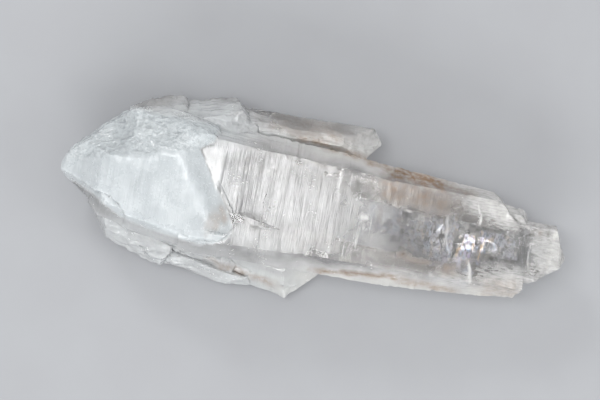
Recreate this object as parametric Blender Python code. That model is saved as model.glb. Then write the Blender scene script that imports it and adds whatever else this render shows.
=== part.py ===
"""Quartz crystal specimen: one solid, about 110 mm long, lying on the back face of its largest crystal.

The frame has +X along the long axis of the main crystal, from the broken milky root to the tip, +Y across
it and +Z up. The origin is at the middle of the underside. Lengths below are in millimetres, in a drawing
frame that shares those axes, and centre_on_origin() puts the origin in its place at the end.

Every crystal is a hexagonal prism. Its six faces stand 60 degrees apart, as quartz always grows them, and
only their distances from the crystal's own axis differ. Growth ledges cross a face where it steps in or
out along the axis. The crystals, and the broken root they grew from, are joined in one.
"""

import math
import random

import bmesh
import bpy
from mathutils import Matrix, Vector, noise

MM = 0.001
SIXTY = math.radians(60)
TAN60 = math.tan(SIXTY)
SEED = 7

# Growth ledges: how far a step of the main crystal stands out, how long its riser is, and how far the
# line of a ledge wanders along the crystal. Side crystals have steps of half that relief.
LEDGE_RELIEF = 0.16
RISER = 0.4
LEDGE_WAVE = 0.3
LEDGE_WAVES_PER_MM = 0.8 / (2 * math.pi)

# ---------------------------------------------------------------- crystals
# A section of a crystal is a row of five lengths: the Y of the upper edge of its top face, of its widest
# point beyond that, of the lower edge of its top face and of its widest point below that, and the height
# of the top face over the back face. The main crystal tapers, so it has a row for each place along X.
MAIN_SECTIONS = (
    (-24.0, 9.5, 12.9, -12.7, -15.4, 21.9),
    (8.0, 8.4, 11.7, -11.0, -14.9, 21.0),
    (20.0, 7.6, 10.9, -11.2, -14.9, 19.8),
    (36.0, 7.7, 9.9, -10.7, -13.7, 16.6),
    (52.0, 7.6, 8.8, -9.9, -12.2, 14.8),
)
MAIN_START, MAIN_END = -24.0, 50.4
MAIN_LEDGES = (22, 11, 11, 0, 11, 11)
MAIN_COLUMNS = (4, 1, 2, 1, 2, 1)

# Planes that end a crystal: a point on each and the direction it faces. The tip faces of quartz stand at
# 38 degrees to the axis. The others are breaks.
MAIN_ENDS = (
    ((42.4, 9.2, 9.0), (0.63, 0.75, 0.16)),
    ((50.3, -8.8, 7.0), (0.90, -0.41, -0.10)),
    ((50.4, -2.0, 2.6), (0.62, 0.0, -0.79)),
)

# Side crystals: where the middle of the back face starts, the heading of the axis in degrees from +X, its
# pitch, the length, the section as above, the number of ledges on each face, and the planes at the ends.
SIDE_CRYSTALS = {
    # Two parallel crystals carry the main one on past its broken shoulder to the tip.
    "shoulder": {
        "start": (33.0, 1.2, 3.9),
        "pitch": -5.0,
        "length": 18.4,
        "section": (4.4, 6.2, -3.9, -6.0, 12.4),
        "ends": (
            ((47.4, 7.4, 9.0), (0.74, 0.65, 0.17)),
            ((50.0, 2.0, 2.0), (0.62, 0.0, -0.79)),
        ),
    },
    "tip": {
        "start": (40.0, -1.95, 2.9),
        "pitch": -5.5,
        "length": 20.0,
        "section": (5.9, 6.9, -5.6, -7.0, 12.9),
        "ends": (
            ((55.5, 5.0, 12.0), (0.91, 0.39, 0.12)),
            ((58.0, -2.9, 13.0), (0.62, -0.74, -0.26)),
            ((58.2, -1.0, 12.6), (0.80, 0.10, 0.59)),
            ((49.4, -2.0, 2.2), (0.62, 0.0, -0.79)),
            ((52.0, 4.9, 9.5), (0.30, 0.72, -0.62)),
        ),
    },
    # A rod grown along one side, with two broken stubs behind it.
    "rod": {
        "start": (-20.0, 13.5, 5.5),
        "heading": 1.6,
        "length": 36.0,
        "section": (0.9, 3.7, -1.2, -3.9, 8.8),
        "ledges": 8,
        "ends": (
            ((6.8, 14.2, 14.3), (0.618, 0.0, 0.786)),
            ((15.2, 15.3, 7.6), (0.60, 0.70, -0.38)),
            ((15.2, 15.3, 7.6), (0.60, -0.68, -0.40)),
            ((15.1, 15.3, 7.9), (0.96, 0.0, -0.25)),
        ),
    },
    "stub": {
        "start": (-33.0, 9.6, 6.4),
        "heading": 16.0,
        "length": 22.0,
        "section": (1.2, 5.2, -3.0, -5.0, 11.2),
        "ends": (
            ((-17.3, 18.6, 11.0), (0.66, 0.74, 0.10)),
            ((-15.4, 14.6, 17.0), (0.60, 0.10, 0.79)),
            ((-13.0, 15.0, 9.0), (0.93, 0.36, -0.05)),
        ),
    },
    "chip": {
        "start": (-39.4, 10.8, 8.0),
        "heading": 16.5,
        "length": 12.6,
        "section": (1.0, 3.6, -2.0, -4.0, 7.4),
        "ends": (
            ((-29.0, 17.3, 12.0), (0.78, 0.62, 0.10)),
            ((-40.5, 11.5, 11.0), (-0.62, 0.72, 0.31)),
            ((-30.0, 15.0, 15.4), (0.30, 0.20, 0.93)),
        ),
    },
    # Crystals fanned out on the other side, all turned about ten degrees away from the main one.
    "blade": {
        "start": (-20.0, -12.4, 3.0),
        "heading": -9.3,
        "length": 31.0,
        "section": (3.2, 5.0, -0.4, -5.7, 9.8),
        "ledges": 9,
        "ends": (
            ((0.8, -21.0, 4.2), (0.587, -0.636, 0.50)),
            ((2.4, -19.6, 3.6), (0.60, -0.56, -0.57)),
        ),
    },
    "flank": {
        "start": (-44.0, -4.1, 6.7),
        "heading": -11.5,
        "length": 31.0,
        "section": (3.2, 6.7, -3.6, -6.8, 12.0),
        "ledges": 8,
        "ends": (
            ((-43.5, -8.4, 14.0), (-0.80, -0.42, 0.42)),
            ((-16.0, -15.4, 13.0), (0.50, -0.80, 0.33)),
        ),
    },
    "outer": {
        "start": (-44.5, -10.0, 3.4),
        "heading": -18.0,
        "length": 20.0,
        "section": (0.8, 3.0, -1.6, -4.0, 7.6),
        "ends": (
            ((-41.2, -13.4, 7.0), (-0.82, -0.52, 0.24)),
            ((-26.6, -18.8, 6.5), (0.70, -0.68, 0.20)),
            ((-34.0, -15.0, 10.0), (-0.10, -0.36, 0.93)),
        ),
    },
    "sliver": {
        "start": (-31.0, -16.3, 3.6),
        "heading": -8.5,
        "length": 24.0,
        "section": (0.4, 2.4, -0.7, -2.0, 4.6),
        "ledges": 7,
        "ends": (
            ((-8.2, -20.0, 6.0), (0.86, -0.30, 0.42)),
            ((-12.0, -20.9, 5.6), (0.24, -0.92, 0.30)),
        ),
    },
    "inner": {
        "start": (-36.0, -10.6, 6.0),
        "heading": -11.6,
        "length": 25.5,
        "section": (0.8, 2.6, -1.0, -2.8, 6.0),
        "ledges": 7,
        "ends": (((-12.4, -15.6, 10.6), (0.62, -0.20, 0.76)),),
    },
}

# A low wedge of extra growth on the top face of the main crystal: the X and Y of its foot and crest, the
# height of the foot, which is inside the crystal, and the height of the crest and its slope along X.
HILL_FOOT = ((-16.0, -4.6), (-14.6, -9.6), (-4.0, -8.3), (1.2, -7.3), (-3.0, -6.9), (-9.5, -5.6))
HILL_CREST = ((-16.0, -5.0), (-13.2, -5.9), (-8.0, -7.0))
HILL_FOOT_Z = 20.6
HILL_CREST_Z, HILL_SLOPE = 22.5, -0.07

# ---------------------------------------------------------------- root
# The root is the broken milky mass the crystals grew from. Each row is one section: its place along X, its
# highest and lowest Y, and the heights of its top and underside. It ends bluntly at ROOT_NOSE.
ROOT_NOSE = (-52.2, -2.5, 10.6)
ROOT_SECTIONS = (
    (-52.0, -1.6, -3.6, 11.6, 9.6),
    (-51.6, -0.2, -4.5, 13.2, 8.4),
    (-50.6, 2.2, -5.1, 14.8, 7.2),
    (-49.0, 4.2, -5.8, 16.4, 5.8),
    (-47.0, 6.1, -6.9, 18.0, 4.2),
    (-44.0, 8.6, -9.4, 20.2, 2.2),
    (-40.0, 12.0, -12.0, 22.6, 0.2),
    (-35.0, 13.8, -13.2, 24.4, -1.0),
    (-29.0, 14.4, -13.8, 25.6, -1.4),
    (-22.0, 14.2, -14.6, 26.2, -1.4),
    (-12.0, 12.6, -14.4, 26.0, -1.4),
)
ROOT_ROWS, ROOT_POINTS = 30, 52
ROOT_SQUARENESS = 0.74

# The other end is a ragged lip that stands over the main crystal: X of the lip for each Y, how far it
# wanders from that, and the point inside the main crystal that its broken edge runs down to.
LIP = (
    (-20.0, -22.0),
    (-13.2, -18.8),
    (-12.0, -15.2),
    (-10.6, -13.8),
    (-8.6, -13.2),
    (-5.7, -14.9),
    (-2.6, -17.0),
    (1.2, -19.9),
    (4.6, -21.9),
    (6.7, -23.4),
    (9.0, -20.4),
    (20.0, -19.0),
)
LIP_WANDER = 0.8
LIP_FOOT = (-9.0, -1.5, 9.0)

# Broken faces of the root: flat ones, as a point and the direction each faces, and hollow ones, as the
# centre and the radius of the ball that each follows.
ROOT_FLATS = (
    ((-21.0, 6.5, 24.6), (-0.274, 0.371, 0.886)),
    ((-21.0, 6.5, 24.6), (-0.170, -0.120, 0.978)),
    ((-42.0, 2.0, 20.0), (-0.600, -0.020, 0.800)),
    ((-24.0, -12.6, 20.8), (-0.22, -0.87, 0.44)),
    ((-46.0, 7.0, 12.0), (-0.66, 0.66, 0.36)),
    ((-45.9, -8.0, 9.0), (-0.52, -0.80, 0.28)),
    ((-30.0, 12.6, 18.0), (-0.12, 0.80, 0.59)),
    ((-44.0, 0.0, 2.2), (-0.40, 0.02, -0.92)),
    ((-30.0, 9.0, 0.4), (-0.04, 0.62, -0.78)),
    ((-30.0, -9.6, 0.4), (-0.06, -0.64, -0.77)),
    ((-30.0, 0.0, 0.6), (-0.02, 0.0, -1.0)),
)
ROOT_HOLLOWS = (
    ((-36.0, 22.0, 34.0), 17.4),
    ((-25.0, 16.0, 36.5), 14.2),
    ((-47.5, 13.0, 26.0), 13.4),
    ((-44.5, -17.0, 20.0), 11.0),
    ((-33.0, 20.0, -6.0), 14.0),
    ((-42.0, -12.0, -9.0), 13.0),
)

# Lumps of the root, coarse to fine: how many to a millimetre, how high they are, and a shift that keeps
# one set of lumps from lining up with the next.
ROOT_LUMPS = ((0.16, 0.30, 0.0), (0.45, 0.16, 7.0), (1.1, 0.06, 19.0))


# ---------------------------------------------------------------- drawing tools


def blend_rows(rows, x):
    """The values of a table at x, read in straight lines between its rows."""
    if x <= rows[0][0]:
        return rows[0][1:]
    for low, high in zip(rows, rows[1:]):
        if x <= high[0]:
            share = (x - low[0]) / (high[0] - low[0])
            return tuple(a + (b - a) * share for a, b in zip(low[1:], high[1:]))
    return rows[-1][1:]


def skin(bm, loops):
    """Faces between loops of corners that all have the same number of corners."""
    for a, b in zip(loops, loops[1:]):
        for i in range(len(a)):
            j = (i + 1) % len(a)
            bm.faces.new((a[i], a[j], b[j], b[i]))


def fan(bm, loop, centre):
    """Closes the end of a body from its last loop of corners to one point."""
    middle = bm.verts.new(centre)
    for i in range(len(loop)):
        bm.faces.new((loop[i], loop[(i + 1) % len(loop)], middle))


def cut(bm, point, facing):
    """Cuts a body by a plane, drops what lies on the side that the plane faces and closes the cut."""
    geometry = bm.verts[:] + bm.edges[:] + bm.faces[:]
    done = bmesh.ops.bisect_plane(
        bm, geom=geometry, plane_co=point, plane_no=facing, clear_outer=True, dist=1e-5
    )
    rim = [e for e in done["geom_cut"] if isinstance(e, bmesh.types.BMEdge)]
    bmesh.ops.holes_fill(bm, edges=rim, sides=0)


def hull(points):
    """The closed convex body round some points."""
    bm = bmesh.new()
    for p in points:
        bm.verts.new(p)
    made = bmesh.ops.convex_hull(bm, input=bm.verts)
    spare = [v for v in made["geom_interior"] if isinstance(v, bmesh.types.BMVert)]
    bmesh.ops.delete(bm, geom=spare, context="VERTS")
    return bm


def to_object(name, bm):
    """Makes a Blender object in metres from a body in millimetres."""
    bm.transform(Matrix.Scale(MM, 4))
    bmesh.ops.triangulate(bm, faces=bm.faces)
    bmesh.ops.recalc_face_normals(bm, faces=bm.faces)
    mesh = bpy.data.meshes.new(name)
    bm.to_mesh(mesh)
    bm.free()
    thing = bpy.data.objects.new(name, mesh)
    bpy.context.scene.collection.objects.link(thing)
    return thing


# ---------------------------------------------------------------- hexagonal prisms


def face_angle(k):
    """Direction of the normal of prism face k round the axis: face 0 looks up and face 3 down."""
    return math.pi / 2 - k * SIXTY


def section_distances(section):
    """How far the six faces of a section stand from the line Y = 0, Z = 0. Face 3 passes through it."""
    top_edge, top_wide, low_edge, low_wide, height = section
    top_wide_z = height - (top_wide - top_edge) * TAN60
    low_wide_z = height - (low_edge - low_wide) * TAN60
    on_face = (
        (top_edge, height),
        (top_wide, top_wide_z),
        (top_wide, top_wide_z),
        (0.0, 0.0),
        (low_wide, low_wide_z),
        (low_wide, low_wide_z),
    )
    return [y * math.cos(face_angle(k)) + z * math.sin(face_angle(k)) for k, (y, z) in enumerate(on_face)]


def prism_corner(k, distances):
    """The edge where prism faces k and k + 1 meet, as (y, z)."""
    a, b = face_angle(k), face_angle(k + 1)
    near, far = distances[k], distances[(k + 1) % 6]
    across = math.sin(b - a)
    y = (near * math.sin(b) - far * math.sin(a)) / across
    z = (far * math.cos(a) - near * math.cos(b)) / across
    return y, z


def ledges_of_face(rng, start, end, count, relief):
    """Ledges of one face as [(x, how far the face stands out beyond it), ...]. The first is at start."""
    ledges = [(start, 0.0)]
    for x in sorted(round(rng.uniform(start, end), 1) for _ in range(count)):
        if x - ledges[-1][0] > 2 * RISER:
            ledges.append((x, rng.uniform(-relief, relief)))
    return ledges


def ledge_offset(ledges, x):
    """How far a face with these ledges stands out of its mean plane at x."""
    offset = ledges[0][1]
    for place, beyond in ledges[1:]:
        if x <= place:
            break
        share = min(1.0, (x - place) / RISER)
        offset += (beyond - offset) * share
    return offset


def prism_ring(x, distances, columns):
    """One ring of points of a prism. columns says in how many parts each face is divided."""
    corners = [prism_corner(k, distances) for k in range(6)]
    ring = []
    for k in range(6):
        (y0, z0), (y1, z1) = corners[k - 1], corners[k]
        for c in range(columns[k]):
            t = c / columns[k]
            ring.append(Vector((x, y0 + (y1 - y0) * t, z0 + (z1 - z0) * t)))
    return ring


def prism(section_at, start, end, ledges, columns):
    """A prism along X from start to end. section_at(x) gives its section."""
    places = {start, end}
    for face in ledges:
        for x, _ in face[1:]:
            places.update((x, round(x + RISER, 1)))
    bm = bmesh.new()
    loops = []
    for x in sorted(p for p in places if start <= p <= end):
        flat = section_distances(section_at(x))
        distances = [d + ledge_offset(face, x) for d, face in zip(flat, ledges)]
        loops.append([bm.verts.new(p) for p in prism_ring(x, distances, columns)])
    skin(bm, loops)
    bm.faces.new(reversed(loops[0]))
    bm.faces.new(loops[-1])
    bmesh.ops.recalc_face_normals(bm, faces=bm.faces)
    return bm


def wave_ledges(bm):
    """Bends the lines of the main crystal's ledges. Its two ends stay flat, so that they can be cut."""
    for v in bm.verts:
        to_end = min(v.co.x - MAIN_START, MAIN_END - v.co.x)
        phase = 2 * math.pi * LEDGE_WAVES_PER_MM * v.co.y + 0.05 * v.co.x
        v.co.x += LEDGE_WAVE * math.sin(phase) * min(1.0, to_end / 4)


def main_crystal(rng):
    """The long tapering crystal. It rests on its back face, which has no ledges."""
    ledges = [ledges_of_face(rng, MAIN_START, MAIN_END, n, LEDGE_RELIEF) for n in MAIN_LEDGES]
    bm = prism(lambda x: blend_rows(MAIN_SECTIONS, x), MAIN_START, MAIN_END, ledges, MAIN_COLUMNS)
    wave_ledges(bm)
    for point, facing in MAIN_ENDS:
        cut(bm, point, facing)
    return to_object("main_crystal", bm)


def side_crystal(rng, name, start, length, section, ends, heading=0.0, pitch=0.0, ledges=5):
    """One crystal of SIDE_CRYSTALS, turned and moved to its place and then ended by its planes."""
    steps = [ledges_of_face(rng, 0.0, length, ledges, LEDGE_RELIEF / 2) for _ in range(6)]
    bm = prism(lambda x: section, 0.0, length, steps, (1, 1, 1, 1, 1, 1))
    turn = Matrix.Rotation(math.radians(heading), 4, "Z") @ Matrix.Rotation(math.radians(-pitch), 4, "Y")
    bm.transform(Matrix.Translation(Vector(start)) @ turn)
    for point, facing in ends:
        cut(bm, point, facing)
    return to_object(name, bm)


def growth_hill():
    """The low wedge of extra growth on the top face of the main crystal, next to the lip of the root."""
    points = [Vector((x, y, HILL_FOOT_Z)) for x, y in HILL_FOOT]
    for x, y in HILL_CREST:
        points.append(Vector((x, y, HILL_CREST_Z + HILL_SLOPE * (x - HILL_CREST[0][0]))))
    return to_object("growth_hill", hull(points))


# ---------------------------------------------------------------- root


def rounded(angle, low, high, trig):
    """One coordinate of a squarish oval between low and high, at this angle round it."""
    c = trig(angle)
    return (high + low) / 2 + (high - low) / 2 * math.copysign(abs(c) ** ROOT_SQUARENESS, c)


def root_ring(share):
    """One ring of points round the root, at this share of the way from its blunt end to its lip."""
    first, last = ROOT_SECTIONS[0][0], ROOT_SECTIONS[-1][0]
    x = first + (last - first) * share**1.25
    high_y, low_y, top, under = blend_rows(ROOT_SECTIONS, x)
    ring = []
    for i in range(ROOT_POINTS):
        angle = 2 * math.pi * i / ROOT_POINTS
        y = rounded(angle, low_y, high_y, math.cos)
        z = rounded(angle, under, top, math.sin)
        wander = LIP_WANDER * noise.noise(Vector((0.9 * y, 0.3 * z, 5.0)))
        to_lip = blend_rows(LIP, y)[0] + wander - last
        ring.append(Vector((x + to_lip * share**3, y, z)))
    return ring


def broken(point, normal):
    """Where a point of the root ends up once the lumps and the broken faces are made."""
    p = point.copy()
    for per_mm, height, shift in ROOT_LUMPS:
        p += normal * height * noise.noise((p + Vector((shift, shift, shift))) * per_mm)
    for place, facing in ROOT_FLATS:
        n = Vector(facing).normalized()
        p -= n * max(0.0, n.dot(p - Vector(place)))
    for centre, radius in ROOT_HOLLOWS:
        out = p - Vector(centre)
        if out.length < radius:
            p = Vector(centre) + out.normalized() * radius
    return p


def root():
    """The milky mass at the broken end: a rounded lump with flat and hollow broken faces."""
    bm = bmesh.new()
    rings = [root_ring(i / (ROOT_ROWS - 1)) for i in range(ROOT_ROWS)]
    loops = [[bm.verts.new(p) for p in ring] for ring in rings]
    skin(bm, loops)
    fan(bm, loops[0], ROOT_NOSE)
    fan(bm, loops[-1], LIP_FOOT)
    bmesh.ops.recalc_face_normals(bm, faces=bm.faces)
    bm.normal_update()
    moved = [broken(v.co, v.normal) for v in bm.verts]
    for v, co in zip(bm.verts, moved):
        v.co = co
    return to_object("root", bm)


# ---------------------------------------------------------------- putting it together


def joined(pieces):
    """One solid from pieces that overlap. The pieces themselves are removed."""
    body = pieces[0]
    for piece in pieces[1:]:
        step = body.modifiers.new("join_" + piece.name, "BOOLEAN")
        step.operation = "UNION"
        step.solver = "EXACT"
        step.object = piece
    graph = bpy.context.evaluated_depsgraph_get()
    mesh = bpy.data.meshes.new_from_object(body.evaluated_get(graph))
    for piece in pieces:
        bpy.data.objects.remove(piece)
    solid = bpy.data.objects.new("quartz_crystal", mesh)
    bpy.context.scene.collection.objects.link(solid)
    return solid


def centre_on_origin(solid):
    """Puts the origin at the middle of the underside."""
    points = [v.co for v in solid.data.vertices]
    low = Vector(map(min, *points))
    high = Vector(map(max, *points))
    shift = Vector((-(low.x + high.x) / 2, -(low.y + high.y) / 2, -low.z))
    solid.data.transform(Matrix.Translation(shift))
    print("origin in the drawing frame, mm:", [round(-s / MM, 3) for s in shift])


def quartz_material():
    """Colourless quartz, milky towards the root: clear enough to let most light through."""
    material = bpy.data.materials.new("quartz")
    material.use_nodes = True
    shader = material.node_tree.nodes["Principled BSDF"]
    shader.inputs["Base Color"].default_value = (0.80, 0.81, 0.81, 1.0)
    shader.inputs["Roughness"].default_value = 0.12
    shader.inputs["Metallic"].default_value = 0.0
    shader.inputs["IOR"].default_value = 1.544
    shader.inputs["Transmission Weight"].default_value = 0.7
    return material


def main():
    rng = random.Random(SEED)
    for thing in list(bpy.data.objects):
        bpy.data.objects.remove(thing)
    pieces = [main_crystal(rng)]
    pieces += [side_crystal(rng, name, **spec) for name, spec in SIDE_CRYSTALS.items()]
    pieces += [growth_hill(), root()]
    bpy.context.view_layer.update()
    solid = joined(pieces)
    centre_on_origin(solid)
    solid.data.materials.clear()
    solid.data.materials.append(quartz_material())
    print("triangles:", sum(len(p.vertices) - 2 for p in solid.data.polygons))


main()
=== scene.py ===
# %% [markdown]
# # A quartz crystal on a pale table
#
# The real thing is a natural cluster of rock crystal, about 110 mm long. One large six-sided crystal
# carries smaller ones on both sides. Its tip is clear, its middle is hazy, and the root that broke off
# the rock is as white as milk. It grew as one piece, so it is one piece here too.
#
# The solid model gives the flat faces, the ledges and the broken root. This lesson adds what is too fine
# for it: growth lines, splintered breaks, worn edges, haze, stains and light that passes through.
# Lengths are in millimetres in the frame of the solid: X runs along the crystal from root to tip, Y
# across it and Z up.

# %% Load the solid
import math

import bmesh
import bpy
import numpy as np
from mathutils import Euler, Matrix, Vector, noise


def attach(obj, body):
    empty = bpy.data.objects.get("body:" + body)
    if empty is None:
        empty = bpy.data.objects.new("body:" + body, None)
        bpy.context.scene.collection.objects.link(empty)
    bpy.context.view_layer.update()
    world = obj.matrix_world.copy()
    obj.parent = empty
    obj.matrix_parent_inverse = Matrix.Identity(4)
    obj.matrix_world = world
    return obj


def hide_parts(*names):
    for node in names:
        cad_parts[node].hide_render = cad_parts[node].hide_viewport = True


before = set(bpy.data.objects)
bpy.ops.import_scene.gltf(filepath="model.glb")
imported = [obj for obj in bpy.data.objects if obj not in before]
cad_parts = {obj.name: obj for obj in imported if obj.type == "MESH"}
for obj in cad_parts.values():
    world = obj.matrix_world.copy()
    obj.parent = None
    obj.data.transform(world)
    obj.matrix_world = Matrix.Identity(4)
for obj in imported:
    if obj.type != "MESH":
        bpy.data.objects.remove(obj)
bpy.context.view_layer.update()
MM = 0.001
NOISE_SEED = 5  # without a seed, noise_vector would give another crystal in each run
noise.seed_set(NOISE_SEED)

# %% [markdown]
# ## A few small helpers
#
# A colour is easiest to pick as an sRGB hex value, and Blender's shaders want linear light, so one
# function turns the first into the second. Another fills and links the inputs of a node, and a third
# adds a node with its settings and inputs in a single call, which keeps a material readable. The last is
# a smooth step from 0 to 1, the usual way to fade a mask.

# %% Colour, node and fade helpers
def linear(hex_colour):
    """An sRGB hex colour as linear red, green, blue and an opaque alpha."""
    parts = [int(hex_colour[i : i + 2], 16) / 255 for i in (1, 3, 5)]
    return [p / 12.92 if p <= 0.04045 else ((p + 0.055) / 1.055) ** 2.4 for p in parts] + [1.0]


def wire(node, **inputs):
    """Fills a node's inputs. An input is named in lower case with _ for a space, or i0, i1 and so on by
    its place. It takes a value, a hex colour, a socket, or a node, which then gives its first output."""
    by_name = {s.name.lower().replace(" ", "_"): s for s in reversed(node.inputs) if s.enabled}
    for name, value in inputs.items():
        socket = node.inputs[int(name[1:])] if name[1:].isdigit() else by_name[name]
        if isinstance(value, bpy.types.Node):
            value = next(output for output in value.outputs if output.enabled)
        if isinstance(value, bpy.types.NodeSocket):
            node.id_data.links.new(value, socket)
        else:
            socket.default_value = linear(value) if isinstance(value, str) else value


def add_node(tree, kind, settings=None, **inputs):
    """Adds a node, sets its own properties and fills its inputs."""
    node = tree.nodes.new(kind)
    for name, value in (settings or {}).items():
        setattr(node, name, value)
    wire(node, **inputs)
    return node


def new_material(name):
    """A material that is ready for nodes, its node tree and its shader."""
    material = bpy.data.materials.new(name)
    material.use_nodes = True
    return material, material.node_tree, material.node_tree.nodes["Principled BSDF"]


def fade(value, start, end):
    """0 at start and beyond it, 1 at end, and a smooth rise between them. It takes arrays too."""
    share = np.clip((value - start) / (end - start), 0, 1)
    return share * share * (3 - 2 * share)


print("milk white in linear light:", [round(c, 3) for c in linear("#d8e0e2")])

# %% [markdown]
# ## The camera
#
# A specimen like this is best seen from straight above, as from a copy stand, through a long lens that
# keeps the faces in their true proportions. The crystal lies a little askew in the frame. Turning the
# camera about its own line of sight does that, because the crystal itself has to stay where it is.

# %% Set the camera
FIELD_WIDTH = 129.6
FIELD_Z = 12.0
CAMERA_XY = (-3.13, 1.14)
CAMERA_Z = 650.0
CAMERA_TURN = math.radians(10.9)
SENSOR_WIDTH = 36.0

camera_data = bpy.data.cameras.new("copy_stand_camera")
camera_data.sensor_width = SENSOR_WIDTH
camera_data.lens = SENSOR_WIDTH * (CAMERA_Z - FIELD_Z) / FIELD_WIDTH
camera = bpy.data.objects.new("copy_stand_camera", camera_data)
bpy.context.scene.collection.objects.link(camera)
camera.location = Vector((*CAMERA_XY, CAMERA_Z)) * MM
camera.rotation_euler = (0, 0, CAMERA_TURN)
bpy.context.scene.camera = camera
print("lens, mm:", round(camera_data.lens, 1))

# %% [markdown]
# ## The table
#
# Clear crystal has hardly a colour of its own: it shows what is round it. A pale table gives it light
# from below. Painted board is matt and nearly even, so a little noise between two greys is enough.

# %% Build the table
TABLE_GREYS = ("#909194", "#96989b")
TABLE_SIZE, TABLE_GAP = 4000.0, 0.02
BOARD_ROUGHNESS = 0.85
BOARD_CLOUDS_PER_M = 60.0


def table_material():
    material, tree, shader = new_material("matt_board")
    place = add_node(tree, "ShaderNodeTexCoord").outputs["Object"]
    clouds = add_node(tree, "ShaderNodeTexNoise", vector=place, scale=BOARD_CLOUDS_PER_M, detail=4.0)
    grey, paler = TABLE_GREYS
    shade = add_node(tree, "ShaderNodeMix", {"data_type": "RGBA"}, factor=clouds, a=grey, b=paler)
    wire(shader, base_color=shade, roughness=BOARD_ROUGHNESS)
    return material


bpy.ops.mesh.primitive_plane_add(size=TABLE_SIZE * MM, location=(0, 0, -TABLE_GAP * MM))
table = bpy.context.object
table.name = "pale_table"
table.data.materials.append(table_material())
print("table, mm:", TABLE_SIZE)

# %% [markdown]
# ## The light
#
# One large softbox overhead gives a broad sheen, and a dimmer surround keeps the slanted faces darker
# than the top, so that the facets read. The overhead softbox stops short on the tip side. The top face
# mirrors its edge, so each growth line that tilts a little to the root side lights up as a white
# streak. Four more softboxes at the sides lift the faces that look their way.

# %% Hang the lights
SURROUND = "#eeeeef"
SURROUND_STRENGTH = 0.94
SOFTBOXES = {
    # name: place in mm, size in mm, power in watts
    "overhead_softbox": ((-226.0, 40.0, 1000.0), (270.0, 560.0), 5.0),
    "left_softbox": ((-430.0, 590.0, 520.0), (150.0, 150.0), 1.9),
    "root_softbox": ((-330.0, -210.0, 1000.0), (230.0, 230.0), 0.15),
    "front_softbox": ((-60.0, -850.0, 480.0), (800.0, 300.0), 6.0),
    "tip_softbox": ((700.0, -60.0, 430.0), (300.0, 500.0), 1.8),
}


def hang_light(name, place, size, power):
    """A rectangular area light that looks at the middle of the crystal."""
    data = bpy.data.lights.new(name, "AREA")
    data.shape = "RECTANGLE"
    data.size, data.size_y = (side * MM for side in size)
    data.energy = power
    lamp = bpy.data.objects.new(name, data)
    bpy.context.scene.collection.objects.link(lamp)
    lamp.location = Vector(place) * MM
    lamp.rotation_euler = (-lamp.location).to_track_quat("-Z", "Y").to_euler()


for softbox, (place, size, power) in SOFTBOXES.items():
    hang_light(softbox, place, size, power)

world = bpy.data.worlds.new("dim_studio")
bpy.context.scene.world = world
world.use_nodes = True
wire(world.node_tree.nodes["Background"], color=SURROUND, strength=SURROUND_STRENGTH)
bpy.context.scene.view_settings.view_transform = "Standard"
print("lights:", len(SOFTBOXES))

# %% [markdown]
# ## A fine mesh over the same solid
#
# The solid has a few large flat triangles, and growth lines need many small ones that run across the
# crystal. A voxel remesh would round the sharp edges, and a subdivision would follow the triangles.
# So the mesh is diced: it is cut by many planes square to X, then by some square to Y and Z. Each cut
# splits the faces it passes through, and neighbours share the new corners, so nothing comes open.
# The planes stand closest along X, past the root, where the growth lines are.

# %% Dice the solid
ROOT_END, PAST_ENDS = -20.0, 56.0
ROOT_STEP, GROWN_STEP = 0.45, 0.25
DICE_LEVELS = (
    # X, Y and Z. The last two are shifted a little, off the levels where the solid has corners
    np.concatenate([np.arange(-PAST_ENDS, ROOT_END, ROOT_STEP), np.arange(ROOT_END, PAST_ENDS, GROWN_STEP)]),
    np.arange(-21.0, 21.0, 1.0) + 0.03,
    np.arange(0.5, 25.0, 1.1) + 0.04,
)
SNAP = 1e-4
WELD = 0.001


def solid_in_mm(node_name):
    """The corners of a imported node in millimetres, welded, and its triangles. The node isn't touched."""
    bm = bmesh.new()
    bm.from_mesh(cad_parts[node_name].data)
    bmesh.ops.remove_doubles(bm, verts=bm.verts, dist=WELD * MM)
    bm.verts.index_update()
    corners = [list(v.co / MM) for v in bm.verts]
    faces = [[v.index for v in f.verts] for f in bm.faces]
    bm.free()
    return corners, faces


def split_face(corners, face, axis, level, made):
    """The parts of a convex face below and above the plane axis = level. made holds the new corners by
    the edge they lie on, so that the face on the other side of that edge takes the same ones."""
    below, above = [], []
    for here, after in zip(face, face[1:] + face[:1]):
        start, end = corners[here][axis] - level, corners[after][axis] - level
        if start <= 0:
            below.append(here)
        if start >= 0:
            above.append(here)
        if start * end < 0:
            key = (min(here, after), max(here, after))
            if key not in made:
                low, high = corners[key[0]], corners[key[1]]
                share = (level - low[axis]) / (high[axis] - low[axis])
                point = [p + (q - p) * share for p, q in zip(low, high)]
                point[axis] = level
                made[key] = len(corners)
                corners.append(point)
            below.append(made[key])
            above.append(made[key])
    return below, above


def dice(corners, faces, axis, levels):
    """Cuts all faces by the planes that stand square to an axis at these levels, from low to high."""
    made = {}
    for corner in corners:
        nearest = levels[np.abs(levels - corner[axis]).argmin()]
        if abs(corner[axis] - nearest) < SNAP:
            corner[axis] = nearest
    diced = []
    for face in faces:
        places = [corners[i][axis] for i in face]
        first = np.searchsorted(levels, min(places), side="right")
        last = np.searchsorted(levels, max(places), side="left")
        for level in levels[first:last]:
            below, face = split_face(corners, face, axis, level, made)
            diced.append(below)
        diced.append(face)
    return diced


corners, faces = solid_in_mm("quartz_crystal")
for axis, levels in enumerate(DICE_LEVELS):
    faces = dice(corners, faces, axis, levels)
points = np.array(corners)
x, y, z = points.T
print("diced:", len(points), "points,", len(faces), "faces")

# %% [markdown]
# ## Where the root ends
#
# What a patch of this crystal looks like depends on whether it is the broken root or a grown face. The
# root ends at the ragged line of its lip and at a low border beside the side crystals, and a ridge
# parts its two broken facets. Each zone becomes a number from 0 to 1 at every corner of the mesh.

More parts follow.
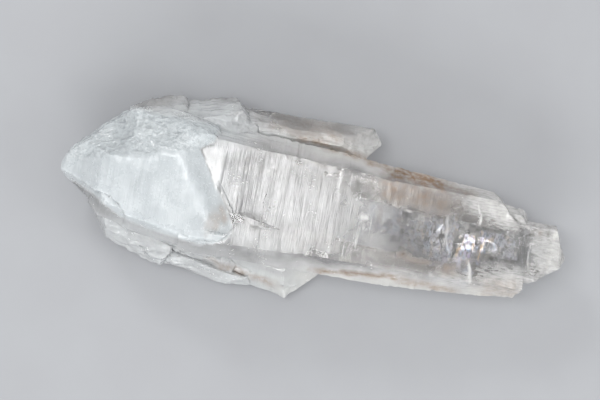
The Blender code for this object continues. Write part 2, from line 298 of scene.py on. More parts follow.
# %% Mark the broken root
LIP_LINE = (
    # X of the root's ragged edge at each Y
    (-18.9, -25.1),
    (-12.1, -21.9),
    (-10.9, -18.3),
    (-9.5, -16.9),
    (-7.5, -16.3),
    (-4.6, -18.0),
    (-1.5, -20.1),
    (2.3, -23.0),
    (5.7, -25.0),
    (7.8, -26.5),
    (10.1, -23.5),
    (21.1, -22.1),
)
LOW_BORDER = ((-51.7, -4.2), (-46.7, -6.2), (-40.8, -9.6), (-33.9, -11.2), (-19.4, -12.6))
LIP_SOFTNESS, BORDER_SOFTNESS = (-0.9, -0.1), (-0.8, 0.6)
STEP_Z, STEP_TO_LIP, STEP_Y = (21.7, 22.0), (-3.6, -2.8), (10.5, 13.0)
ROOT_Y = (15.5, 13.0)
RIDGE_POINT, RIDGE_SLOPE, RIDGE_SOFTNESS = (-24.1, 7.6), 0.25, (-0.8, 1.6)
MIRROR_Z, MIRROR_TO_LIP, MIRROR_X = (21.0, 21.3), (0.0, -0.6), (-20.0, -20.8)
MIRROR_LOW_Y, MIRROR_HIGH_Y = (-1.0, 0.4), (9.6, 8.6)

to_lip = np.interp(y, *zip(*LIP_LINE)) - x
above_border = y - np.interp(x, *zip(*LOW_BORDER))
over_step = fade(z, *STEP_Z) * fade(to_lip, *STEP_TO_LIP) * fade(y, *STEP_Y)
broken = np.maximum(fade(to_lip, *LIP_SOFTNESS), over_step) * fade(above_border, *BORDER_SOFTNESS)
broken *= fade(y, *ROOT_Y)
past_ridge = y - RIDGE_POINT[1] - RIDGE_SLOPE * (x - RIDGE_POINT[0])
upper_facet = fade(past_ridge, *RIDGE_SOFTNESS)
# a small facet beside the lip, smooth as a mirror
mirror_facet = fade(z, *MIRROR_Z) * fade(to_lip, *MIRROR_TO_LIP) * fade(x, *MIRROR_X)
mirror_facet *= fade(y, *MIRROR_LOW_Y) * fade(y, *MIRROR_HIGH_Y)
print("root:", round(float(broken.mean()), 2), "of the corners")

# %% [markdown]
# ## Clouds and lines
#
# Haze in quartz has no sharp border, so soft ellipsoids pushed about by noise mark it. Iron follows
# grooves and fine cracks, so stains and veins follow short lines, which die out towards their ends.
# Painted glints are drawn as such short lines as well.

# %% Helpers for soft zones
LINE_ENDS, END_STRENGTH = 0.15, 0.35
CLOUD_EDGE, LINE_EDGE = (0.35, 1.2), (0.3, 1.3)


def wander(points, pitch, amount, shift=0.0):
    """A smooth random push for each point: lumps of that pitch, up to that amount."""
    pushes = [noise.noise_vector(Vector(p) / pitch + Vector((shift,) * 3)) for p in points]
    return np.array(pushes) * amount


def clouds(points, zones):
    """How strongly soft ellipsoids cover each point. The strongest wins."""
    cover = np.zeros(len(points))
    for centre, radii, strength in zones:
        distance = np.linalg.norm((points - centre) / radii, axis=1)
        cover = np.maximum(cover, strength * (1 - fade(distance, *CLOUD_EDGE)))
    return cover


def from_line(points, start, end):
    """Each point's distance from a line as seen from above, and its share of the way along it."""
    start, along = np.array(start), np.subtract(end, start)
    share = np.clip((points[:, :2] - start) @ along / (along @ along), 0, 1)
    return np.linalg.norm(points[:, :2] - start - share[:, None] * along, axis=1), share


def lines(points, marks):
    """How strongly soft lines cover each point. Each mark is a start, an end, a width and a strength."""
    cover = np.zeros(len(points))
    for start, end, width, strength in marks:
        distance, share = from_line(points, start, end)
        inner = fade(share, 0.0, LINE_ENDS) * fade(share, 1.0, 1.0 - LINE_ENDS)
        near = 1 - fade(distance, *(width * edge for edge in LINE_EDGE))
        cover = np.maximum(cover, strength * near * (END_STRENGTH + (1 - END_STRENGTH) * inner))
    return cover


pushed = points + wander(points, 6.0, 2.0) + wander(points, 1.8, 0.6, 31.0)
print("clouds are pushed by up to", round(float(np.abs(pushed - points).max()), 1), "mm")

# %% [markdown]
# ## Haze and the clear window
#
# Haze is densest at the root and thins out towards the tip. The side crystals and the slanted faces
# keep some of it, and the middle of the tip is a clear window with straight sides. Small pale blocks are
# painted on the back face, each a shade of its own: painted highlights that show through that window as
# an uneven mosaic of light.

# %% Spread the haze and the painted highlights
HAZE = (
    # centre, radii and strength of each cloud
    ((-30.0, 0.0, 12.0), (22.0, 16.0, 16.0), 0.75),
    ((-8.0, 1.0, 13.0), (24.0, 13.0, 16.0), 0.29),
    ((6.0, -1.0, 13.0), (15.0, 12.0, 14.0), 0.20),
    ((-10.0, -8.5, 15.0), (15.0, 5.0, 9.0), 0.62),
    ((-30.0, -14.0, 8.0), (36.0, 13.0, 16.0), 0.62),
    ((-4.0, -18.0, 5.0), (22.0, 9.0, 11.0), 0.92),
    ((-26.0, 12.0, 14.0), (20.0, 9.5, 12.0), 0.72),
    ((24.0, 9.5, 3.0), (22.0, 5.5, 6.0), 0.80),
    ((28.0, -10.0, 3.0), (24.0, 5.5, 6.0), 0.80),
    ((2.0, 16.0, 8.0), (20.0, 6.0, 9.0), 0.34),
    ((15.5, 16.0, 7.0), (7.0, 8.0, 10.0), 0.75),
    ((12.0, 13.0, 13.0), (54.0, 5.4, 14.0), 0.70),
    ((18.0, -13.2, 9.0), (46.0, 6.0, 14.0), 0.80),
    ((45.0, -10.5, 8.0), (14.0, 8.5, 12.0), 0.74),
    ((43.0, 8.0, 10.0), (15.0, 5.5, 11.0), 0.58),
    ((54.5, 1.0, 9.0), (9.0, 9.0, 11.0), 0.62),
    ((40.0, 8.2, 14.0), (14.0, 5.0, 9.0), 0.50),
    ((33.0, -11.5, 10.0), (16.0, 4.5, 12.0), 0.72),
)
WINDOW_MIDDLE = ((18.0, -1.1), (42.0, -0.7), (48.0, -0.9))
WINDOW_HALF_WIDTH = ((18.0, 4.9), (42.0, 3.2), (45.5, 2.2), (48.0, 0.0))
WINDOW_SOFTNESS, WINDOW_START, WINDOW_END = (0.7, -0.3), (13.0, 21.0), (48.2, 47.4)
WINDOW_CLEARNESS = 0.96
# pale blocks painted on the back face, as painted highlights seen through the window
PAINTED_HIGHLIGHT_BLOCKS = (((34.0, -0.8, 0.0), (15.0, 5.5, 3.0), 1.0),)
PAINTED_HIGHLIGHT_PITCH = (1.4, 1.0)
BACK_Z = 0.02

on_back = z < BACK_Z
# painted highlights: pale cells on the back face under the window
cells = points[:, :2] / np.array(PAINTED_HIGHLIGHT_PITCH)
painted_highlights = clouds(points, PAINTED_HIGHLIGHT_BLOCKS) * [noise.cell(Vector((c[0], c[1], 0.5))) ** 2 for c in cells]
milk_and_painted_light = np.maximum.reduce((clouds(pushed, HAZE), broken, painted_highlights * on_back))
from_middle = np.abs(y - np.interp(x, *zip(*WINDOW_MIDDLE)))
window = fade(from_middle - np.interp(x, *zip(*WINDOW_HALF_WIDTH)), *WINDOW_SOFTNESS)
window = window * fade(x, *WINDOW_START) * fade(x, *WINDOW_END)
milk_and_painted_light = np.where(on_back, milk_and_painted_light, milk_and_painted_light * (1 - WINDOW_CLEARNESS * window))
print("milk:", round(float(milk_and_painted_light.mean()), 2), "window:", round(float(window.mean()), 3))

# %% [markdown]
# ## Veins, painted glints, stains and dark specks
#
# A few thin cracks stand as white veins, whose white is partly a painted highlight, and two short white
# lines are painted glints. Iron has stained the long grooves and some patches brown. Two small dark
# grains sit near the ends of the window. Veins, painted glints and grains are kept to the upper half of
# the crystal, while a stain follows its line right down the side.

# %% Draw the veins, painted glints, stains and specks
UPPER_HALF_Z = 8.0
VEINS_AND_PAINTED_GLINTS = (
    # start and end in X and Y, width and strength of each line, here and in the two lists below
    # white crack lines: the cracks are real, and their white is partly a painted highlight
    ((34.9, 7.6), (35.9, 3.1), 0.24, 0.8),
    ((34.6, -5.0), (36.2, -10.4), 0.26, 0.9),
    ((28.3, 4.6), (30.2, -5.6), 0.30, 0.25),
    # a painted glint: a short white line where light glints
    ((10.2, -0.2), (12.0, 0.0), 0.35, 1.0),
    ((10.1, -2.5), (10.6, -7.2), 0.16, 0.45),
    ((4.5, 9.0), (4.9, 2.7), 0.16, 0.40),
    ((15.1, 9.1), (15.5, 4.7), 0.18, 0.5),
    # a painted glint near the tip
    ((51.6, 4.2), (53.4, 4.3), 1.0, 0.9),
)
IRON = (
    ((-16.0, 12.0), (10.0, 9.4), 2.0, 0.13),
    ((-42.0, 15.5), (-34.0, 17.5), 2.2, 0.16),
    ((-7.0, 14.4), (4.0, 13.2), 0.7, 0.70),
    ((3.0, 13.4), (17.0, 11.0), 1.1, 0.70),
    ((14.0, 11.2), (28.0, 9.7), 1.8, 0.95),
    ((23.0, 10.2), (34.0, 9.2), 1.0, 0.75),
    ((-14.0, 17.0), (4.0, 16.2), 2.6, 0.40),
    ((12.0, 7.6), (29.0, 5.8), 3.2, 0.72),
    ((19.0, -6.3), (27.0, -6.9), 0.8, 0.60),
    ((29.0, -7.0), (32.5, -7.2), 1.6, 0.60),
    ((2.0, -13.0), (22.0, -11.0), 0.7, 0.75),
    ((20.0, -11.4), (34.0, -11.8), 0.9, 0.50),
    ((-21.0, -15.2), (-4.0, -18.3), 0.8, 0.45),
    ((-20.5, -8.6), (-19.5, -5.0), 1.9, 0.34),
    ((-17.5, -7.0), (-19.0, -3.0), 0.8, 0.50),
    ((38.0, -10.0), (47.0, -9.4), 2.4, 0.34),
    ((48.2, 3.9), (49.2, 3.9), 0.7, 0.50),
    ((20.5, -5.9), (21.0, -5.9), 0.7, 1.0),
)
SPECKS = (((20.3, -5.9), (21.1, -5.9), 0.7, 1.0), ((50.3, 4.0), (50.9, 4.0), 0.55, 0.8))

upper_half = z > UPPER_HALF_Z
# white crack lines, partly painted highlight, and painted glints, drawn into the milk
veins_and_painted_glints = lines(points + wander(points, 1.5, 0.14, 71.0), VEINS_AND_PAINTED_GLINTS)
milk_and_painted_light = np.where(upper_half, np.maximum(milk_and_painted_light, veins_and_painted_glints), milk_and_painted_light)
stain = lines(points + wander(points, 3.0, 0.9, 7.0), IRON)
specks = lines(points, SPECKS) * upper_half
print("stained:", round(float(stain.mean()), 3))

# %% [markdown]
# ## Rugged, etched and worn places
#
# The small crystals beside the root are stepped and splintery. Two patches are finely etched and look
# frosted. The worn tip and the ends of the side crystals have lost their edges to many small nibbles.
# The faces over the window, and one small facet beside the lip, stay glossy and smooth.

# %% Mark the rough places
RUGGED = (
    # centre, radii and strength, as for the haze
    ((-24.0, 16.0, 12.0), (19.0, 7.5, 14.0), 1.0),
    ((-30.0, -15.5, 8.0), (20.0, 5.5, 12.0), 1.0),
)
ETCHED = (((0.0, 17.5, 11.0), (26.0, 6.0, 12.0), 1.0), ((53.5, 1.0, 10.0), (7.0, 8.0, 12.0), 0.8))
ERODED = (
    ((46.0, 7.0, 10.0), (11.0, 6.5, 13.0), 1.0),
    ((54.5, 1.0, 10.0), (6.0, 8.0, 13.0), 1.0),
    ((46.0, -10.5, 8.0), (8.0, 6.0, 12.0), 1.0),
    ((17.5, 16.0, 8.0), (6.0, 7.0, 11.0), 1.0),
    ((-2.0, -20.0, 4.0), (6.0, 5.0, 8.0), 1.0),
)
CLEAR = (((31.0, -0.8, 12.0), (19.0, 8.0, 20.0), 1.0),)
MIRROR_CLEARNESS = 0.85

rugged = clouds(pushed, RUGGED)
etched = clouds(pushed, ETCHED)
eroded = clouds(points, ERODED)
clear = np.maximum(clouds(points, CLEAR), MIRROR_CLEARNESS * mirror_facet)
print("rugged and worn shares:", round(float(rugged.mean()), 2), round(float(eroded.mean()), 2))

# %% [markdown]
# ## Noise that looks like crystal
#
# A prism face of quartz grows in thin terraces, so it is ruled across with fine steps that start and
# stop. Noise stretched along the lines and cut into levels gives just that: flat treads, and risers that
# wander. Growth hollows have square corners, so they come from cells and not from smooth noise.

# %% Helpers for relief
RISER = 0.35


def stretched(points, pitch, shift=0.0):
    """Smooth noise, from about -1 to 1, whose lumps measure pitch along X, Y and Z."""
    offset = Vector((shift, 2 * shift, 3 * shift))
    scaled = points / np.array(pitch)
    return np.array([noise.noise(Vector(p) + offset) for p in scaled])


def terraced(height, step):
    """Cuts a smooth height into levels joined by short risers."""
    level = np.floor(height / step)
    return (level + fade(height / step - level, 0.0, RISER)) * step


def blocks(points, pitches):
    """Square-cornered hollows, each to its own random depth, as seen from above."""
    depth = np.zeros(len(points))
    for pitch, deepest in pitches:
        cells = points[:, :2] / np.array(pitch)
        depth += deepest * np.array([noise.cell(Vector((c[0], c[1], pitch[0]))) for c in cells])
    return depth


def facing(corners, faces):
    """The unit normal of each corner, from the faces round it by their areas, and how sharp it is there:
    0 on a flat face and about 0.3 on a right-angled edge."""
    normals = np.zeros((len(corners), 3))
    areas = np.zeros(len(corners))
    sizes = np.array([len(f) for f in faces])
    for size in np.unique(sizes):
        ring = np.array([f for f in faces if len(f) == size])
        spokes = corners[ring[:, 1:]] - corners[ring[:, :1]]
        area = np.cross(spokes[:, :-1], spokes[:, 1:]).sum(1)
        for place in range(size):
            np.add.at(normals, ring[:, place], area)
            np.add.at(areas, ring[:, place], np.linalg.norm(area, axis=1))
    length = np.linalg.norm(normals, axis=1)
    return normals / length[:, None], 1 - length / areas


outward, sharpness = facing(points, faces)
on_top = fade(outward[:, 2], 0.8, 0.95)
print("sharpest corner:", round(float(sharpness.max()), 2))

# %% [markdown]
# ## Growth lines on the grown faces
#
# Every grown face carries fine terraces and finer lines. The top face also has slow waves, wider bands
# on its root half, and a few tall lines that stand out: each is a step up that dies out at both ends.

# %% Rule the grown faces
TERRACE_PITCH, TERRACE_DEPTH, TERRACE_STEP = (1.3, 6.0, 6.0), 0.05, 0.014
LINE_PITCH, LINE_DEPTH = (0.6, 1.8, 1.8), 0.008
WAVE_PITCH, WAVE_DEPTH = (8.0, 11.0, 11.0), 0.13
BAND_PITCH, BAND_DEPTH, BAND_X = (2.8, 9.0, 9.0), 0.085, (15.0, 0.0)
TALL_LINES = (
    # start and end in X and Y of the tallest growth lines, and how high each stands
    ((4.4, 9.0), (4.9, 2.7), 0.05),
    ((6.7, 8.6), (7.0, 3.6), 0.06),
    ((10.1, -2.5), (10.6, -7.2), 0.07),
    ((15.1, 9.1), (15.5, 4.7), 0.07),
    ((34.9, 7.4), (35.6, 3.1), 0.10),
    ((34.6, -5.2), (36.0, -10.4), 0.12),
    ((-12.6, 9.0), (-13.4, 3.0), 0.03),
    ((-19.2, 7.4), (-20.0, 0.0), 0.04),
    ((-16.6, 5.0), (-17.2, 0.0), 0.03),
)
TALL_RISE, TALL_FALL, TALL_ENDS = 0.5, 3.0, 0.2


def tall_lines(points):
    """A short rise and a long fall back for each tall growth line."""
    height = np.zeros(len(points))
    for start, end, rise in TALL_LINES:
        share = from_line(points, start, end)[1]
        inner = fade(share, 0.0, TALL_ENDS) * fade(share, 1.0, 1.0 - TALL_ENDS)
        low, high = sorted((start, end), key=lambda place: place[1])
        ahead = points[:, 0] - np.interp(points[:, 1], (low[1], high[1]), (low[0], high[0]))
        height += rise * inner * fade(ahead, -TALL_RISE, 0.0) * fade(ahead, TALL_FALL, 0.0)
    return height


terraces = terraced(stretched(points, TERRACE_PITCH) * TERRACE_DEPTH, TERRACE_STEP)
fine_lines = stretched(points, LINE_PITCH, 5.0) * LINE_DEPTH
waves = stretched(points, WAVE_PITCH, 41.0) * WAVE_DEPTH
bands = stretched(points, BAND_PITCH, 47.0) * BAND_DEPTH * fade(x, *BAND_X)
grown = (1 - broken) * (1 - mirror_facet)
relief = grown * (terraces + fine_lines + on_top * (tall_lines(points) + waves + bands))
print("growth lines, mm:", round(float(relief.min()), 2), "to", round(float(relief.max()), 2))

# %% [markdown]
# ## Breaks, splinters and nibbles
#
# The root has no such order. It broke like glass, with ripples on one facet and splinters on the other,
# and the crystals beside it broke in ledges. The worn ends are lumpy and nibbled.

# %% Break the root and wear the ends
SPLINTER_PITCH, SPLINTER_DEPTH = (2.4, 1.1, 1.3), 0.6
RIPPLE_PITCH, RIPPLE_DEPTH = (1.2, 6.0, 6.0), 0.12
LUMP_PITCH, LUMP_DEPTH = (4.0, 4.0, 4.0), 0.5
LEDGE_PITCH, LEDGE_DEPTH, LEDGE_STEP = (5.0, 1.3, 1.5), 0.65, 0.20
NIBBLE_PITCH, NIBBLE_DEPTH = (1.7, 1.7, 1.7), 0.5
LUMPS_ON_RIPPLES, LUMPS_ON_LEDGES = 0.35, 0.6

splinters = -np.abs(stretched(points, SPLINTER_PITCH, 9.0)) * SPLINTER_DEPTH
ripples = stretched(points, RIPPLE_PITCH, 13.0) * RIPPLE_DEPTH
lumps = stretched(points, LUMP_PITCH, 37.0) * LUMP_DEPTH
lumps_on_root = lumps * (LUMPS_ON_RIPPLES + (1 - LUMPS_ON_RIPPLES) * upper_facet)
relief += broken * (splinters * upper_facet + ripples * (1 - upper_facet) + lumps_on_root)
ledges = terraced(stretched(points, LEDGE_PITCH, 29.0) * LEDGE_DEPTH, LEDGE_STEP)
nibbles = stretched(points, NIBBLE_PITCH, 43.0) * NIBBLE_DEPTH
relief += rugged * (1 - broken) * (ledges + LUMPS_ON_LEDGES * lumps)
relief += eroded * (LUMPS_ON_LEDGES * lumps + nibbles)
print("with the breaks, mm:", round(float(relief.min()), 2), "to", round(float(relief.max()), 2))

# %% [markdown]
# ## Chipped edges and a pitted back
#
# Corners of the mesh that lie on an edge move in by patches, as real edges chip. The big top face keeps
# its corners, because the low risers of the solid there aren't real edges. The back face is pitted with
# shallow square hollows under the clear end, which is what breaks up the view through it.

# %% Chip the edges and pit the back
FACE_HEIGHTS = (
    # X and Z along the middle of the big top face
    (-27.0, 21.75),
    (-20.0, 21.65),
    (-12.0, 21.30),
    (-3.0, 21.22),
    (5.0, 20.95),
    (11.0, 20.27),
    (17.0, 19.66),
    (27.0, 17.76),
    (33.0, 16.60),
    (38.0, 15.95),
    (43.7, 15.38),
    (47.0, 14.95),
)
FACE_UP, FACE_SIDEWAYS, FACE_DEPTH = (0.45, 0.6), (0.34, 0.22), (0.55, 0.30)
LEDGE_X, LEDGE_Y = (2.0, 1.0), (-3.8, -4.6)
CHIP_PITCH, CHIP_DEPTH, CHIP_COVER = (1.1, 1.1, 1.1), 0.28, (-0.2, 0.7)
EDGE_SHARPNESS, FLAT_SHARPNESS, CHIP_FACING = (0.01, 0.06), (0.02, 0.0), (0.94, 0.89)
HOLLOWS = (((4.2, 3.1), 0.55), ((1.7, 1.3), 0.28))
HOLLOWS_X = (12.0, 19.0)

level = np.interp(x, *zip(*FACE_HEIGHTS))
on_ledge = fade(x, *LEDGE_X) * fade(y, *LEDGE_Y)
faces_up = fade(outward[:, 2], *FACE_UP) * fade(np.abs(outward[:, 1]), *FACE_SIDEWAYS)
main_face = faces_up * (1 - broken) * fade(np.abs(z - level), *FACE_DEPTH) * (1 - on_ledge)
chips = fade(sharpness, *EDGE_SHARPNESS) * fade(outward[:, 2], *CHIP_FACING)
chips *= fade(stretched(points, CHIP_PITCH, 17.0), *CHIP_COVER)
relief -= chips * (1 - main_face) * CHIP_DEPTH
hollows = fade(sharpness, *FLAT_SHARPNESS) * fade(x, *HOLLOWS_X) * blocks(points, HOLLOWS)
relief = np.where(on_back, -hollows, relief)
carved = points + outward * relief[:, None]
print("relief, mm:", round(float(relief.min()), 2), "to", round(float(relief.max()), 2))

# %% [markdown]
# ## Level the top face, fill a crease and wear the lip
#
# The solid has short risers on the top face, and real growth would have left a gentle slope, so the face
# is pulled towards one smooth height. A deep crease between two low crystals is partly filled. The lip
# of the root isn't a cliff: it is worn back to a ramp with a rounded edge.

# %% Reshape the large forms
LEVELLING = 0.92
CREASE = ((-30.0, -14.8), (-24.0, -15.5), (-20.0, -16.5), (-11.0, -17.1))
CREASE_FILL, CREASE_WIDTH = 1.5, (1.8, 0.3)
CREASE_START, CREASE_END = (-31.0, -29.0), (-9.0, -11.0)
CREASE_FACING, CREASE_Z = (0.1, 0.4), (9.5, 8.5)
LIP_FOOT, LIP_RAMP, LIP_FOOT_Z, LIP_RISE = -1.1, 8.5, 21.6, 2.4
LIP_Y, LIP_REACH = (-9, 12), 1.6
LIP_ROUNDING, LIP_ROUNDING_FROM = 1.2, (0.05, 0.35)
MIRROR_TILT, MIRROR_MIDDLE_X = 0.07, -23.3
LINE_WANDER, LINE_WANDER_PITCH, LINE_WANDER_SQUEEZE = 0.8, 2.6, (0.2, 1.0, 0.2)
WANDER_START, WANDER_END = (-16.0, -14.0), (45.0, 43.0)

carved[:, 2] += main_face * LEVELLING * (level - z)

in_crease = fade(np.abs(y - np.interp(x, *zip(*CREASE))), *CREASE_WIDTH)
in_crease = in_crease * fade(x, *CREASE_START) * fade(x, *CREASE_END)
carved[:, 2] += CREASE_FILL * in_crease * fade(outward[:, 2], *CREASE_FACING) * fade(z, *CREASE_Z)

up_lip = (to_lip + wander(points, 2.0, 0.5, 3.0)[:, 0] - LIP_FOOT) / LIP_RAMP
ramp_z = LIP_FOOT_Z + LIP_RISE * fade(up_lip, 0.0, 1.0)
near_lip = (z > LIP_FOOT_Z) & (y < LIP_Y[1]) & (y > LIP_Y[0]) & (up_lip < LIP_REACH)
rounding = np.maximum(LIP_ROUNDING - np.abs(carved[:, 2] - ramp_z), 0.0) ** 2 / (4 * LIP_ROUNDING)
rounding *= fade(up_lip, *LIP_ROUNDING_FROM)
carved[:, 2] = np.where(near_lip, np.minimum(carved[:, 2], ramp_z) - rounding, carved[:, 2])
carved[:, 2] += mirror_facet * MIRROR_TILT * (x - MIRROR_MIDDLE_X)

# the growth lines aren't quite straight, so the corners that carry them shift a little along X
squeezed = points * np.array(LINE_WANDER_SQUEEZE)
on_face = on_top * (1 - broken) * fade(x, *WANDER_START) * fade(x, *WANDER_END)
carved[:, 0] += on_face * wander(squeezed, LINE_WANDER_PITCH, LINE_WANDER, 51.0)[:, 0]
carved[:, 2] = np.maximum(carved[:, 2], 0.0)
print("corners moved by up to", round(float(np.linalg.norm(carved - points, axis=1).max()), 1), "mm")

# %% [markdown]
# ## The crystal as one mesh
#
# The corners and faces become one Blender mesh. Gentle steps are shaded smooth and everything sharper
# than the edge angle stays crisp, which is what tells a crystal from a pebble. The zone values go along
# as attributes, so that the material can read them.

# %% Make the crystal
EDGE_ANGLE = 24.0
WORN_END_X, TIPWARD_X = (24.0, 36.0), (-26.0, 14.0)
ABOVE_TABLE_Z = 0.5
UNDERSIDE_FACING = (0.75, 0.2)
ETCHED_RUGGEDNESS = 0.8


def make_piece(name, corners, faces, masks):
    """A mesh object from corners in millimetres, with each mask as an attribute of its corners."""
    mesh = bpy.data.meshes.new(name)
    mesh.from_pydata([tuple(c) for c in corners * MM], [], faces)
    mesh.shade_smooth()
    mesh.set_sharp_from_angle(angle=math.radians(EDGE_ANGLE))
    for mask_name, values in masks.items():
        attribute = mesh.attributes.new(mask_name, "FLOAT", "POINT")
        attribute.data.foreach_set("value", values.astype(np.float32))
    piece = bpy.data.objects.new(name, mesh)
    bpy.context.scene.collection.objects.link(piece)
    return piece


MASKS = {
    "broken": broken,
    # the milk also carries painted glints and pale blocks of painted highlight
    "milk_and_painted_light": milk_and_painted_light,
    "stain": stain,
    "upper_facet": upper_facet * broken,
    "etched": etched,
    "rugged": np.maximum(rugged * (1 - broken), ETCHED_RUGGEDNESS * etched),
    "worn_end": fade(x, *WORN_END_X) * (1 - window) * (z > ABOVE_TABLE_Z),
    "clear": clear,
    "underside": fade(outward[:, 2], *UNDERSIDE_FACING),
    "tipward": fade(x, *TIPWARD_X),
    "speck": specks,
}
crystal = make_piece("quartz_crystal_detailed", carved, faces, MASKS)
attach(crystal, "root")
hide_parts("quartz_crystal")
crystal.data.calc_loop_triangles()
print("crystal:", len(crystal.data.loop_triangles), "triangles")

# %% [markdown]
# ## Rock crystal, clear and milky
#
# Quartz is see-through. Milky quartz is the same stuff full of tiny bubbles, so it scatters light
# instead of passing it. One number, the milkiness, drives both: it lowers the transmission and turns the
# colour to white, and subsurface scattering takes over from there. The same number also carries the
# painted glints and the pale blocks of painted highlight, so those are white and less clear too. Slow
# noise makes the milk uneven, fine dashes streak the worn end, and iron stains and dark specks block the
# light as well.

# %% Mix the colours of the quartz
NOISE, MIX, MATH, SPREAD = "ShaderNodeTexNoise", "ShaderNodeMix", "ShaderNodeMath", "ShaderNodeMapRange"
MAPPING, BUMP = "ShaderNodeMapping", "ShaderNodeBump"
ADD, TIMES, LARGER = {"operation": "ADD"}, {"operation": "MULTIPLY"}, {"operation": "MAXIMUM"}
COLOUR = {"data_type": "RGBA"}
CLEAR_TINT, IRON_BROWN, SPECK_BROWN = "#f4f4f4", "#8a6844", "#3f3833"
ROOT_MILK, TIP_MILK = ("#acb2b5", "#babfc1"), ("#b3b3b0", "#c3c2be")
CLOUDS_PER_MM, RUST_PER_MM = 0.16, 0.8
STAIN_MILKINESS = 0.55
CLEAR_TRANSMISSION, MILKY_TRANSMISSION = 0.98, 0.10


def quartz_colour(tree, shader, in_mm, zone, dashes):
    """Links the base colour and the transmission, from the zones and from noise within them."""
    cloud = add_node(tree, NOISE, vector=in_mm, scale=CLOUDS_PER_MM, detail=5.0, roughness=0.55)
    uneven = add_node(tree, SPREAD, value=cloud, from_min=0.3, from_max=0.7, to_min=-0.12, to_max=0.08)
    streak = add_node(tree, SPREAD, value=dashes, from_min=0.35, from_max=0.65, to_min=-0.15, to_max=0.14)
    streaks = add_node(tree, MATH, TIMES, i0=zone["worn_end"], i1=streak)
    uneven = add_node(tree, MATH, ADD, i0=uneven, i1=streaks)
    # the milk zone carries painted glints and painted highlights as well as haze
    milkiness_and_painted_light = add_node(tree, MATH, {**ADD, "use_clamp": True}, i0=zone["milk_and_painted_light"], i1=uneven)

    rust = add_node(tree, NOISE, vector=in_mm, scale=RUST_PER_MM, detail=5.0, roughness=0.6)
    rusty = add_node(tree, SPREAD, value=rust, from_min=0.36, from_max=0.62, to_min=0.45)
    stained = add_node(tree, MATH, TIMES, i0=zone["stain"], i1=rusty)
    stain_milk = add_node(tree, MATH, TIMES, i0=stained, i1=STAIN_MILKINESS)
    milkiness_and_painted_light = add_node(tree, MATH, LARGER, i0=milkiness_and_painted_light, i1=stain_milk)
    milkiness_and_painted_light = add_node(tree, MATH, LARGER, i0=milkiness_and_painted_light, i1=zone["speck"])

    denser = add_node(tree, SPREAD, value=cloud, from_min=0.35, from_max=0.62)
    root_white, tip_white = (
        add_node(tree, MIX, COLOUR, factor=denser, a=thin, b=dense) for thin, dense in (ROOT_MILK, TIP_MILK)
    )
    white = add_node(tree, MIX, COLOUR, factor=zone["tipward"], a=root_white, b=tip_white)
    colour = add_node(tree, MIX, COLOUR, factor=milkiness_and_painted_light, a=CLEAR_TINT, b=white)
    colour = add_node(tree, MIX, COLOUR, factor=stained, a=colour, b=IRON_BROWN)
    colour = add_node(tree, MIX, COLOUR, factor=zone["speck"], a=colour, b=SPECK_BROWN)
    passed = add_node(tree, SPREAD, value=milkiness_and_painted_light, to_min=CLEAR_TRANSMISSION, to_max=MILKY_TRANSMISSION)
    wire(shader, base_color=colour, transmission_weight=passed)


print("milk at the root and at the tip:", ROOT_MILK, TIP_MILK)

# %% [markdown]
# ## How glossy each face is
#
# Grown faces are as glossy as glass, and those that don't look up a little more so. One facet of the
# root is satin and the splintered one sparkles. Away from the window, etching dulls the faces in soft
# islands, and a fine grain wears the gloss in spots.

# %% Set the gloss of the quartz
GLOSSY, GLOSSY_BACK, SATIN, SPARKLY, FROSTED = 0.04, 0.02, 0.20, 0.08, 0.30
ETCH_PER_MM, ETCH_DULLNESS, GRAIN_DULLNESS = 0.17, 0.16, 0.10


def quartz_gloss(tree, shader, in_mm, zone, cloudy, grain):
    """Links the roughness and returns how strongly each spot is etched."""
    grown = add_node(tree, SPREAD, value=zone["underside"], to_min=GLOSSY, to_max=GLOSSY_BACK)
    root = add_node(tree, SPREAD, value=zone["upper_facet"], to_min=SATIN, to_max=SPARKLY)
    rough = add_node(tree, MIX, factor=zone["broken"], a=grown, b=root)
    etch = add_node(tree, NOISE, vector=in_mm, scale=ETCH_PER_MM, detail=2.0, roughness=0.5)
    islands = add_node(tree, SPREAD, value=etch, from_min=0.50, from_max=0.62, to_max=ETCH_DULLNESS)
    etching = add_node(tree, MATH, TIMES, i0=islands, i1=cloudy)
    spots = add_node(tree, SPREAD, value=grain, from_min=0.45, from_max=0.7, to_max=GRAIN_DULLNESS)
    worn = add_node(tree, MATH, TIMES, i0=spots, i1=cloudy)
    worn = add_node(tree, MATH, ADD, i0=worn, i1=etching)
    rough = add_node(tree, MATH, ADD, i0=rough, i1=worn)
    frosted = add_node(tree, MATH, TIMES, i0=zone["etched"], i1=FROSTED)
    wire(shader, roughness=add_node(tree, MATH, LARGER, i0=rough, i1=frosted))
    return etching


print("roughness of grown faces and of the root:", GLOSSY, SATIN)

# %% [markdown]
# ## Relief too fine for the mesh
#
# Growth lines, about two to a millimetre, are bump, strong in patches and faint in the window. Over
# them lie four more layers of bump, each in its own zone: grain on the root, flaky layers on the rugged
# crystals, small splinters on the upper facet of the root, and dashes on the worn end. Each layer takes
# the normal of the one before it, so they add up.

# %% Layer the bumps of the quartz
LINES_PER_MM, LINE_BUMP = (1.9, 0.14, 0.14), 0.19 * MM
GRAINS_PER_MM, GRAIN_BUMP = 1.8, 0.12 * MM
FLAKES_PER_MM, FLAKE_BUMP, FLAKE_STEP = (0.16, 0.9, 0.9), 1.2 * MM, 0.05
SPLINTERS_PER_MM, SPLINTER_BUMP, SPLINTER_STEP = (0.7, 1.1, 1.1), 0.50 * MM, 0.06
DASHES_PER_MM, DASH_BUMP = (0.5, 3.0, 3.0), 0.06 * MM
PATCHES_PER_MM, FAINTEST = 0.25, 0.10
SNAP_TO = {"operation": "SNAP"}


